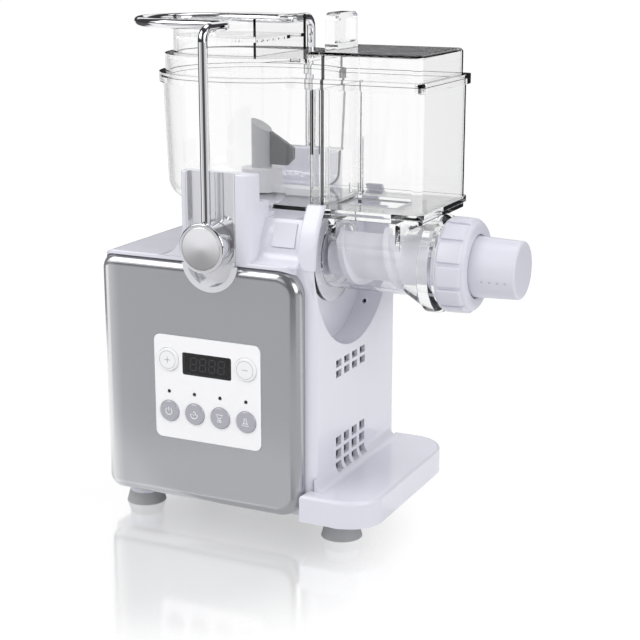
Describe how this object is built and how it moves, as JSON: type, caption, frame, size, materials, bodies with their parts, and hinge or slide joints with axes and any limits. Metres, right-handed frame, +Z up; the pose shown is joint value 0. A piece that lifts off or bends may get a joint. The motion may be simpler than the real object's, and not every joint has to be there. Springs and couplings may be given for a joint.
{
  "type": "pasta maker",
  "caption": "Electric pasta maker: clear mixing bowl and hopper on a white body, auger barrel with screw-on die, chromed locking bail and button panel.",
  "frame": {"origin": "on the worktop, under the middle of the part's own box", "axes": "+X towards the outlet of the barrel, +Y from the control panel to the back, +Z up"},
  "size_m": [0.3024, 0.1848, 0.3702],
  "materials": {
    "white_shell": "glossy white moulding",
    "silver_panel": "satin silver-grey lacquer",
    "polished_chrome": "mirror chrome",
    "satin_cap": "spun satin",
    "white_plate": "glossy white",
    "button_silver": "soft silver",
    "button_white": "white with a grey ring",
    "smoked_window": "smoked",
    "lamp_lens": "dark lens",
    "clear_plastic": "clear polished",
    "white_moulding": "semi-gloss white moulding",
    "grey_paddle": "matt grey",
    "die_metal": "turned",
    "soft_rubber": "matt grey rubber",
    "steel": "plain",
    "motor_steel": "rolled sheet",
    "gear_nylon": "natural nylon",
    "gearbox_cast": "die cast",
    "bush_bronze": "sintered",
    "black_plastic": "matt black",
    "circuit_board": "green lacquer"
  },
  "bodies": {
    "machine": {"main_housing": "white_shell", "front_fascia": "silver_panel", "rear_cover": "white_shell", "front_pivot_liner": "polished_chrome", "rear_pivot_liner": "polished_chrome", "base_plate": "white_shell", "foot_discs": "white_shell", "suction_feet": "soft_rubber", "foot_screws": "steel", "panel_screws": "steel", "control_plate": "white_plate", "display_window": "smoked_window", "display_module": "black_plastic", "led_lenses": "lamp_lens", "control_board": "circuit_board", "board_screws": "steel", "tact_switches": "black_plastic", "mixing_bowl": "clear_plastic", "extruder_barrel": "clear_plastic", "hopper_gasket": "soft_rubber", "motor_can": "motor_steel", "motor_bracket": "motor_steel", "drive_screws": "steel", "gearbox_case": "gearbox_cast", "gearbox_cover": "gearbox_cast", "shaft_bushes": "bush_bronze", "shaft_seals": "soft_rubber", "power_board": "circuit_board", "power_inlet": "black_plastic", "switch_cover": "white_plate", "safety_switch": "black_plastic"},
    "locking_bail": {"bail": "polished_chrome", "front_knob": "polished_chrome", "rear_knob": "polished_chrome", "front_knob_cap": "satin_cap", "rear_knob_cap": "satin_cap", "pivot_pins": "steel"},
    "lid": {"bowl_lid": "clear_plastic", "inlet_tower": "clear_plastic"},
    "gate": {"shutter": "clear_plastic"},
    "die": {"die_disc": "die_metal", "die_cap": "white_moulding"},
    "nut": {"ring_nut": "white_moulding"},
    "auger_train": {"auger": "white_moulding", "auger_shaft": "steel", "auger_gear": "gear_nylon", "bevel_pinion": "gear_nylon"},
    "mixer_train": {"mixer_shaft": "steel", "bevel_gear": "gear_nylon", "paddle_socket": "clear_plastic", "mixing_paddle": "grey_paddle"},
    "motor_train": {"motor_shaft": "steel", "motor_pinion": "gear_nylon", "motor_fan": "black_plastic"},
    "press_power": {"button_power": "button_silver"},
    "press_mix": {"button_mix": "button_silver"},
    "press_extrude": {"button_extrude": "button_silver"},
    "press_weigh": {"button_weigh": "button_silver"},
    "press_plus": {"button_plus": "button_white"},
    "press_minus": {"button_minus": "button_white"}
  },
  "joints": [
    {"name": "bail_swing", "type": "hinge", "parent": "machine", "child": "locking_bail", "pos_m": [-0.0528, 0, 0.2115], "axis": [0, -1, 0], "range_deg": [0, 95]},
    {"name": "lid_lift", "type": "slide", "parent": "machine", "child": "lid", "axis": [0, 0, 1], "range_m": [0, 0.008]},
    {"name": "gate_lift", "type": "slide", "parent": "lid", "child": "gate", "axis": [0, 0, 1], "range_m": [0, 0.04]},
    {"name": "nut_turn", "type": "hinge", "parent": "die", "child": "nut", "pos_m": [0.0962, 0, 0.197], "axis": [1, 0, 0], "range_deg": [0, 1080]},
    {"name": "die_draw", "type": "slide", "parent": "machine", "child": "die", "axis": [1, 0, 0], "range_m": [0, 0.009]},
    {"name": "auger_spin", "type": "hinge", "parent": "machine", "child": "auger_train", "pos_m": [-0.0528, 0, 0.197], "axis": [1, 0, 0], "continuous": true},
    {"name": "mixer_spin", "type": "hinge", "parent": "machine", "child": "mixer_train", "pos_m": [-0.0528, 0, 0.197], "axis": [0, 0, 1], "continuous": true},
    {"name": "motor_spin", "type": "hinge", "parent": "machine", "child": "motor_train", "pos_m": [-0.0528, 0, 0.1535], "axis": [1, 0, 0], "continuous": true},
    {"name": "press_power", "type": "slide", "parent": "machine", "child": "press_power", "axis": [0, 1, 0], "range_m": [0, 0.0008], "stiffness_N_per_m": 600},
    {"name": "press_mix", "type": "slide", "parent": "machine", "child": "press_mix", "axis": [0, 1, 0], "range_m": [0, 0.0008], "stiffness_N_per_m": 600},
    {"name": "press_extrude", "type": "slide", "parent": "machine", "child": "press_extrude", "axis": [0, 1, 0], "range_m": [0, 0.0008], "stiffness_N_per_m": 600},
    {"name": "press_weigh", "type": "slide", "parent": "machine", "child": "press_weigh", "axis": [0, 1, 0], "range_m": [0, 0.0008], "stiffness_N_per_m": 600},
    {"name": "press_plus", "type": "slide", "parent": "machine", "child": "press_plus", "axis": [0, 1, 0], "range_m": [0, 0.0008], "stiffness_N_per_m": 600},
    {"name": "press_minus", "type": "slide", "parent": "machine", "child": "press_minus", "axis": [0, 1, 0], "range_m": [0, 0.0008], "stiffness_N_per_m": 600}
  ],
  "couplings": [
    {"joint": "mixer_spin", "follows": "auger_spin", "ratio": -1},
    {"joint": "motor_spin", "follows": "auger_spin", "ratio": -1.9},
    {"joint": "die_draw", "follows": "nut_turn", "m_per_rad": 0.00047746}
  ]
}
